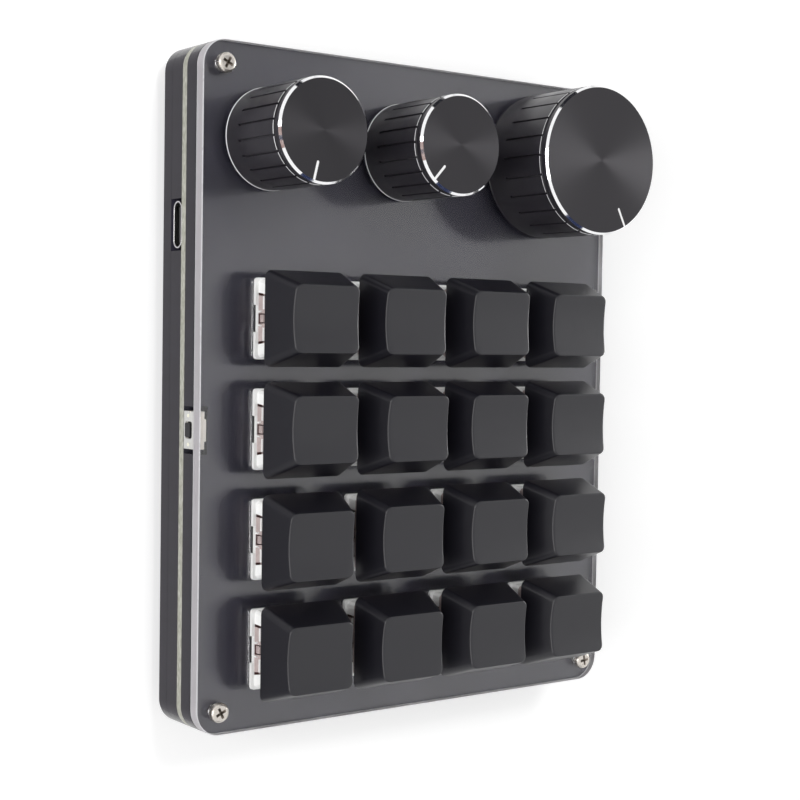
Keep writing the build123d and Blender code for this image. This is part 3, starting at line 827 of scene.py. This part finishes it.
def switch_top_mesh():
    """Upper housing: white foot with slots painted dark as shade and a latch on two sides, milky taper and
    the window.
    """
    bm = bmesh.new()
    half_x, half_y = 7.05, 7.4
    top_half = (5.5, 6.0)
    wall = 1.0
    window = (3.6, 3.0)
    foot_height = 1.6
    bevel = 0.15
    corner = 0.5
    milky, dark, white = range(3)
    # y of the two sides of each slot in the left and right wall, and its depth
    slots = [(-4.85, -4.35, 1.2), (-0.98, 0.98, 1.0), (4.35, 4.85, 1.2)]
    lip = 0.02
    # The slots' walls take the dark finish: painted shade in the recesses.
    # The right half of the outline: x, y, the depth of the cut there and the finish of the wall after it
    right = [(half_x - corner, -half_y, 0, white), (half_x, corner - half_y, 0, white)]
    for low, high, depth in slots:
        after = white if high == slots[-1][1] else milky
        right += [(half_x, low, 0, dark), (half_x, low + lip, depth, dark)]
        right += [(half_x, high - lip, depth, dark), (half_x, high, 0, after)]
    right += [(half_x, half_y - corner, 0, white), (half_x - corner, half_y, 0, white)]
    plain = [(side * x, side * y) for side in (1, -1) for x, y, depth, finish in right]
    cut = [(side * (x - depth), side * y) for side in (1, -1) for x, y, depth, finish in right]
    finishes = [finish for x, y, depth, finish in right] * 2
    height = upper_top - upper_z

    def scaled(points, size_x, size_y, z):
        """The outline scaled to other half sizes, at a height."""
        return level_ring(bm, [(x * size_x / half_x, y * size_y / half_y) for x, y in points], z)

    def tapered(points, z, inset=0.0):
        """The outline at a height on the taper, drawn in by an inset."""
        share = (z - upper_z) / height
        size = [low + (high - low) * share - inset for low, high in zip((half_x, half_y), top_half)]
        return scaled(points, *size, z)

    foot_z = upper_z + foot_height
    foot_step = 0.01
    roof_z = upper_top - wall
    rings = [
        tapered(cut, upper_z),
        tapered(cut, foot_z),
        tapered(plain, foot_z + foot_step),
        tapered(plain, upper_top - bevel),
        tapered(plain, upper_top, bevel),
        scaled(plain, *window, upper_top),
        scaled(plain, *window, roof_z),
        tapered(plain, roof_z, wall),
        tapered(plain, upper_z, wall),
    ]
    for strip in join_rings(bm, rings + rings[:1])[:2]:
        for face, finish in zip(strip, finishes):
            face.material_index = finish

    slot_floor = (upper_z - lip, upper_z + lip)
    latch, latch_height, latch_setback = (0.7, 1.45), 1.3, 0.28
    hook_tip, hook_root, hook_height = half_x + 0.12, half_x - 0.9, 0.8
    hook = [(hook_tip, 1.15), (hook_tip, 1.4), (hook_root, 1.85), (hook_root, 1.55)]
    ridge, ridge_x, ridge_y, ridge_low, ridge_high = (0.3, 2.5), half_x - 0.36, 2.95, 1.1, 1.5
    for side in (-1, 1):
        for low, high, depth in slots:
            # A thin dark sheet on each slot's floor: painted shade.
            middle = (side * (half_x - depth / 2), side * (low + high) / 2)
            add_prism(bm, [rectangle(depth - lip, high - low - lip, middle)], *slot_floor, material=dark)
        outline = rectangle(*latch, (side * (half_x - latch_setback - latch[0] / 2), 0))
        add_prism(bm, [outline], upper_z, upper_z + latch_height, 0.05, material=milky)
        for end in (-1, 1):
            outline = [(side * x, end * y) for x, y in hook]
            add_prism(bm, [outline], upper_z, upper_z + hook_height, material=white)
            outline = rectangle(*ridge, (side * ridge_x, end * ridge_y))
            add_prism(bm, [outline], upper_z + ridge_low, upper_z + ridge_high, 0.04, material=white)
    return make_mesh("switch_top", bm, [switch_milky, slot_shade, switch_white], sharp=30)


def spring_mesh():
    """Coil spring with closed ends, standing in the stem's socket."""
    bm = bmesh.new()
    wire, coil_radius = 0.17, 1.8
    turns, per_turn, sides = 11, 20, 6
    run = spring_length - 2 * wire
    closed = 1.0
    end_rise = 2 * wire
    section = circle(wire, sides)
    rings = []
    for i in range(turns * per_turn + 1):
        turn = i / per_turn
        angle = 2 * math.pi * turn
        if turn < closed:
            rise = end_rise * turn / closed
        elif turn > turns - closed:
            rise = run - end_rise * (turns - turn) / closed
        else:
            rise = end_rise + (run - 2 * end_rise) * (turn - closed) / (turns - 2 * closed)
        outward = Vector((math.cos(angle), math.sin(angle), 0))
        middle = outward * coil_radius + Vector((0, 0, spring_low.z + wire + rise))
        rings.append(add_ring(bm, [middle + outward * x + Vector((0, 0, z)) for x, z in section]))
    join_rings(bm, rings)
    bm.faces.new(rings[0])
    bm.faces.new(rings[-1])
    return make_mesh("switch_spring", bm, [spring_steel], sharp=80)


switch_base, switch_top, spring = switch_base_mesh(), switch_top_mesh(), spring_mesh()
for key, (x, y) in key_points.items():
    add_piece(f"switch_base_{key}", switch_base, "root", "switch_bases", (x, y), even=True)
    add_piece(f"switch_top_{key}", switch_top, "root", "switch_tops", (x, y))
    coil = add_piece(f"switch_spring_{key}", spring, "root", "switch_springs", (x, y))
    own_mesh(coil)


# Knobs

knob_z, knob_top = z_range("knob_left")
face_chamfer = 0.42
foot_ring = 0.2
foot_slope = 0.1
neck_edge = 0.1
neck_drop = 1.3
neck_width = 0.8
neck_depth = 0.4
groove_width = 0.42
groove_depth = 0.45
skirt_wall = 1.8
hub_z = 24.1
bore_radius = 3.05
bore_top = 32.65


def knob_mesh(name, radius, grooves, band, first_groove, foot_painted_light):
    """Turned knob: grooved side, dark neck, bright chamfers and spun face."""
    bm = bmesh.new()
    half_groove = math.asin(groove_width / 2 / radius)
    edge = math.radians(0.08)
    # Angle of each point, and whether it lies in a groove
    points = []
    land_steps = 7
    groove = ((-half_groove - edge, 0), (-half_groove + edge, 1), (0, 1), (half_groove - edge, 1))
    for number in range(grooves):
        middle = math.radians(first_groove) + 2 * math.pi * number / grooves
        points += [(middle + offset, deep) for offset, deep in groove]
        start = middle + half_groove + edge
        land = 2 * math.pi / grooves - 2 * (half_groove + edge)
        points += [(start + land * step / land_steps, 0) for step in range(land_steps)]

    def ring(land_radius, z, floor_radius=None):
        """One ring, whose groove points lie on floor_radius."""
        radii = (land_radius, floor_radius or land_radius)
        return level_ring(
            bm, [(radii[deep] * math.cos(angle), radii[deep] * math.sin(angle)) for angle, deep in points], z
        )

    neck_top = knob_top - neck_drop
    neck_low = neck_top - neck_width
    neck_radius = radius - neck_depth
    floor = radius - groove_depth
    groove_low = knob_z + band
    black, face, bright, satin, foot = range(5)
    tiny = 0.04
    steps = [
        (ring(bore_radius, bore_top), None),
        (ring(bore_radius, hub_z), black),
        (ring(radius - skirt_wall, hub_z), black),
        (ring(radius - skirt_wall, knob_z), black),
        (ring(radius - tiny, knob_z), black),
        # The foot ring in the foot's paint: a pale painted highlight on the left and middle knobs, black as
        # painted shade on the right one.
        (ring(radius, knob_z + tiny), foot),
        (ring(radius - foot_slope, knob_z + foot_ring), foot),
        (ring(radius, groove_low), black),
        (ring(radius, groove_low + tiny, floor), black),
        (ring(radius, neck_low - neck_edge, floor), black),
        (ring(radius - neck_edge, neck_low - tiny, floor), satin),
        (ring(neck_radius + tiny, neck_low - tiny, floor), black),
        (ring(neck_radius, neck_low), black),
        (ring(neck_radius, neck_top), black),
        (ring(radius - tiny, neck_top), black),
        (ring(radius, neck_top + tiny), black),
        (ring(radius, knob_top - face_chamfer), black),
        (ring(radius - face_chamfer, knob_top), bright),
    ]
    for share in (0.8, 0.6, 0.4, 0.2, 0.05):
        steps.append((ring((radius - face_chamfer) * share, knob_top), face))
    join_rings(bm, [made for made, _ in steps], [index for _, index in steps[1:]])
    bm.faces.new(steps[0][0])
    bm.faces.new(steps[-1][0]).material_index = face
    return make_mesh(name, bm, [knob_black, knob_face, knob_polish, knob_edge, foot_painted_light], sharp=30)


def pointer_mesh(name, radius, length, angle):
    """Paint in the pointer's slot, level with the knob's face."""
    bm = bmesh.new()
    half, proud, depth = 0.25, 0.006, 0.2
    outer_end = radius - face_chamfer
    inner_end = outer_end - length
    outline = [(inner_end, -half), (outer_end, -half), (outer_end, half), (inner_end, half)]
    outline += arc((inner_end, 0), half, math.pi / 2, 3 * math.pi / 2, 6)[1:-1]
    add_prism(bm, [outline], knob_top - depth, knob_top + proud)
    return make_mesh(name, bm, [pointer_paint], matrix=Matrix.Rotation(math.radians(angle), 4, "Z"))


# The last column is the paint of the foot ring: pale as a painted highlight on the left and middle knobs,
# black as painted shade on the right one.
for side, grooves, band, first_groove, length, pointer, foot_painted_light in (
    ("left", 21, 4.4, 189.2, 3.3, 256.0, knob_foot_highlight),
    ("middle", 21, 4.4, 180.4, 3.3, 227.5, knob_foot_highlight),
    ("right", 24, 5.3, 179.7, 3.85, 297.5, knob_black),
):
    node, place = f"knob_{side}", knob_points[side]
    low, high = box_mm(node)
    radius = (high.x - low.x) / 2
    turned = knob_mesh(f"{node}_turned", radius, grooves, band, first_groove, foot_painted_light)
    add_piece(f"{node}_turned", turned, node, node, place)
    mark = pointer_mesh(f"{node}_pointer", radius, length, pointer)
    add_piece(f"{node}_pointer", mark, node, node, place)


# Socket and side button in the left edge


def edge_piece(name, prisms, materials, body, node):
    """A piece of prisms drawn on the left edge, each with outlines, its ends along X and settings."""
    bm = bmesh.new()
    for outlines, x0, x1, settings in prisms:
        add_prism(bm, outlines, x0, x1, **settings)
    # Local X, Y and Z become Y, Z and X
    turned = Matrix(((0, 0, 1, 0), (1, 0, 0, 0), (0, 1, 0, 0), (0, 0, 0, 1)))
    add_piece(name, make_mesh(name, bm, materials, matrix=turned), body, node, even=True)


def size_yz(low, high):
    """Length along the edge and height of a box."""
    return high.y - low.y, high.z - low.z


usb_wall = 0.31
# The ends are half-round but for this, which keeps their corners apart
end_flat = 0.001
usb_outlines = []
for wall in (0.0, usb_wall):
    length, height = [size - 2 * wall for size in size_yz(usb_low, usb_high)]
    usb_outlines.append(rounded_rectangle(length, height, height / 2 - end_flat, 10, 1, (usb_y, usb_z)))
edge_piece(
    "usb_shell", [(usb_outlines, usb_low.x, usb_high.x, {"bevel": 0.1, "segments": 3})], [socket_chrome],
    "root", "usb_socket_shell",
)

button_z = (button_low.z + button_high.z) / 2
button_length, button_height = size_yz(button_low, button_high)
button_slot = (3.2, 2.5)
# Along X: front and back of the cover, bottom of the slot, back of the body and of its raised middle
front_x = plate_low.x + 0.05
cover_x = front_x + 0.15
slot_x = front_x + 1.4
body_x = front_x + 1.9
middle_x = front_x + 2.3
middle_length, middle_inset = 4.2, 0.02
stake_pitch, stake_radius = 5.4, 0.35
centre = (button_y, button_z)
button_outline = rectangle(button_length, button_height, centre)
middle_outline = rectangle(middle_length, button_height - 2 * middle_inset, centre)
body_slot = rounded_rectangle(*button_slot, 0.4, 4, 1, centre)
cover_slot = rounded_rectangle(*button_slot, 0.5, 5, 1, centre)
edge_piece(
    "side_button_body",
    [
        ([button_outline, body_slot], cover_x, slot_x, {"bevel": 0.06}),
        ([button_outline], slot_x, body_x, {"bevel": 0.06}),
        ([middle_outline], body_x - 0.1, middle_x, {"bevel": 0.08}),
    ],
    [button_cream], "root", "side_button_housing",
)


def cover_outline():
    """The stamped cover, with a small half-round relief at each end."""
    half_y, half_z = button_length / 2, button_height / 2
    relief, relief_z = 0.3, 0.5
    points = []
    for end in (1, -1):
        start = math.pi + end * math.pi / 2
        points.append((end * half_y, -end * half_z))
        points += arc((end * half_y, relief_z), relief, start, start - math.pi, 6)
        points.append((end * half_y, end * half_z))
    return [(y + button_y, z + button_z) for y, z in points]


stakes = [circle(stake_radius, 20, (button_y + end * stake_pitch / 2, button_z)) for end in (-1, 1)]
# A thin sheet in the plunger's black behind the cover's slot: painted shade.
shade_outline = rectangle(button_slot[0] + 0.2, button_slot[1] + 0.1, centre)
edge_piece(
    "side_button_cover",
    [
        ([cover_outline(), cover_slot], front_x, cover_x, {"bevel": 0.04}),
        *[([stake], front_x - 0.1, front_x + 0.05, {"bevel": 0.05, "material": 1}) for stake in stakes],
        ([shade_outline], cover_x + 0.5, cover_x + 0.55, {"material": 2}),
    ],
    [button_cover, button_stake, plunger_plastic], "root", "side_button_housing",
)

plunger_low, plunger_high = box_mm("side_button_plunger")
plunger_outline = rounded_rectangle(*size_yz(plunger_low, plunger_high), 0.35, 6, 1, centre)
edge_piece(
    "side_button_key", [([plunger_outline], plunger_low.x, plunger_high.x, {"bevel": 0.15, "segments": 3})],
    [plunger_plastic], "side_button", "side_button_plunger",
)


# Stage

background = 1.0
ambient = 0.42
# The floor's own glow, and the camera's extra, which grows to its full strength between two distances
floor_glow = 0.4
far_start, far_end, far_strength = 0.2, 0.9, 0.6


def see_white(tree):
    """1 for camera, glossy and transmission rays, else 0."""
    rays = tree.nodes.new("ShaderNodeLightPath").outputs
    direct = combine(tree, "MAXIMUM", rays["Is Camera Ray"], rays["Is Glossy Ray"])
    return combine(tree, "MAXIMUM", direct, rays["Is Transmission Ray"])


def world():
    """White seen directly, in gloss and through glass, and a softer light elsewhere."""
    scene.world = bpy.data.worlds.new("studio")
    scene.world.use_nodes = True
    tree = scene.world.node_tree
    shader = tree.nodes["Background"]
    shader.inputs["Color"].default_value = (1.0, 1.0, 1.0, 1.0)
    strength = map_range(tree, see_white(tree), 0.0, 1.0, ambient, background)
    tree.links.new(strength, shader.inputs["Strength"])


def far_glow(tree):
    """What the camera gets from the far floor, in place of the lamps' light."""
    place = tree.nodes.new("ShaderNodeNewGeometry")
    distance = tree.nodes.new("ShaderNodeVectorMath")
    distance.operation = "LENGTH"
    tree.links.new(place.outputs["Position"], distance.inputs[0])
    glow = map_range(tree, distance.outputs["Value"], far_start, far_end, 0.0, far_strength)
    return combine(tree, "MULTIPLY", glow, tree.nodes.new("ShaderNodeLightPath").outputs["Is Camera Ray"])


def panel(name, place, size, finish):
    """A flat rectangle of the stage, in metres."""
    mesh = bpy.data.meshes.new(name)
    mesh.from_pydata([(x, y, 0) for x, y in rectangle(*size)], [], [(0, 1, 2, 3)])
    mesh.materials.append(finish.material)
    piece = bpy.data.objects.new(name, mesh)
    piece.location = place
    scene.collection.objects.link(piece)
    return piece


def floor():
    """White floor that keeps a soft shadow."""
    white = (1.0, 1.0, 1.0, 1.0)
    finish = Finish("floor", (0.8, 0.8, 0.8), 1.0, Specular_IOR_Level=0.0, Emission_Color=white)
    glow = combine(finish.tree, "MULTIPLY_ADD", see_white(finish.tree), floor_glow, far_glow(finish.tree))
    panel("floor", (0, 0, -0.0002), (8.0, 8.0), finish.feed("Emission Strength", glow))


def softbox(name, place, target, size, power, in_gloss=True):
    """A square soft lamp aimed at a point, in metres, which gloss shows or not."""
    lamp = bpy.data.lights.new(name, "AREA")
    lamp.shape = "SQUARE"
    lamp.size = size
    lamp.energy = power
    holder = bpy.data.objects.new(name, lamp)
    holder.location = place
    holder.rotation_euler = (Vector(target) - Vector(place)).to_track_quat("-Z", "Y").to_euler()
    holder.visible_glossy = in_gloss
    scene.collection.objects.link(holder)


def card(name, place, size, colour, strength=1.0):
    """A panel that only gloss shows, turned towards the object unless it lies on the floor."""
    light = {"Emission_Color": (*colour, 1.0), "Emission_Strength": strength}
    finish = Finish(name, (0.0, 0.0, 0.0), 0.5, Specular_IOR_Level=0.0, **light)
    piece = panel(name, place, size, finish)
    if place[2] > 0.01:
        piece.rotation_euler = Vector(place).to_track_quat("-Z", "Y").to_euler()
    for ray in ("camera", "diffuse", "transmission", "volume_scatter", "shadow"):
        setattr(piece, f"visible_{ray}", False)


def camera():
    """The photograph's view."""
    lens = bpy.data.cameras.new("camera")
    lens.lens = 72.273
    lens.clip_start = 0.01
    holder = bpy.data.objects.new("camera", lens)
    holder.location = (-0.1996, 0.00985, 0.27652)
    holder.rotation_euler = [math.radians(angle) for angle in (-2.8033, -36.9198, 1.0912)]
    scene.collection.objects.link(holder)
    scene.camera = holder


world()
floor()
softbox("key_light", (0.0, 0.56, 0.95), (0, 0, 0.02), 0.3, 3.2, in_gloss=False)
softbox("left_fill", (-0.8, -0.03, 0.52), (0, 0, 0.02), 0.6, 5.6)
card("right_light", (0.95, 0.12, 0.30), (0.24, 0.24), (1.0, 1.0, 1.0), 16.0)
card("dark_corner", (0.41, 0.23, 0.86), (0.28, 0.22), (0.35, 0.35, 0.37))
card("table", (plate_low.x * mm - 0.161, 0, 0.0005), (0.3, 0.4), (0.28, 0.28, 0.30))
card("near_table", (plate_low.x * mm - 0.0055, 0, 0.0005), (0.011, 0.4), (0.70, 0.68, 0.72))
card("photographer", (-0.447, -0.045, 0.321), (0.30, 0.22), (0.36, 0.25, 0.23))
card("camera_body", (-0.406, -0.041, 0.292), (0.06, 0.10), (0.02, 0.02, 0.05))
card("dark_side", (0.078, -0.53, 0.262), (0.33, 0.17), (0.03, 0.04, 0.09))
card("dark_top", (0.012, 0.567, 0.195), (0.28, 0.16), (0.02, 0.02, 0.025))
camera()

scene.view_settings.view_transform = "Standard"
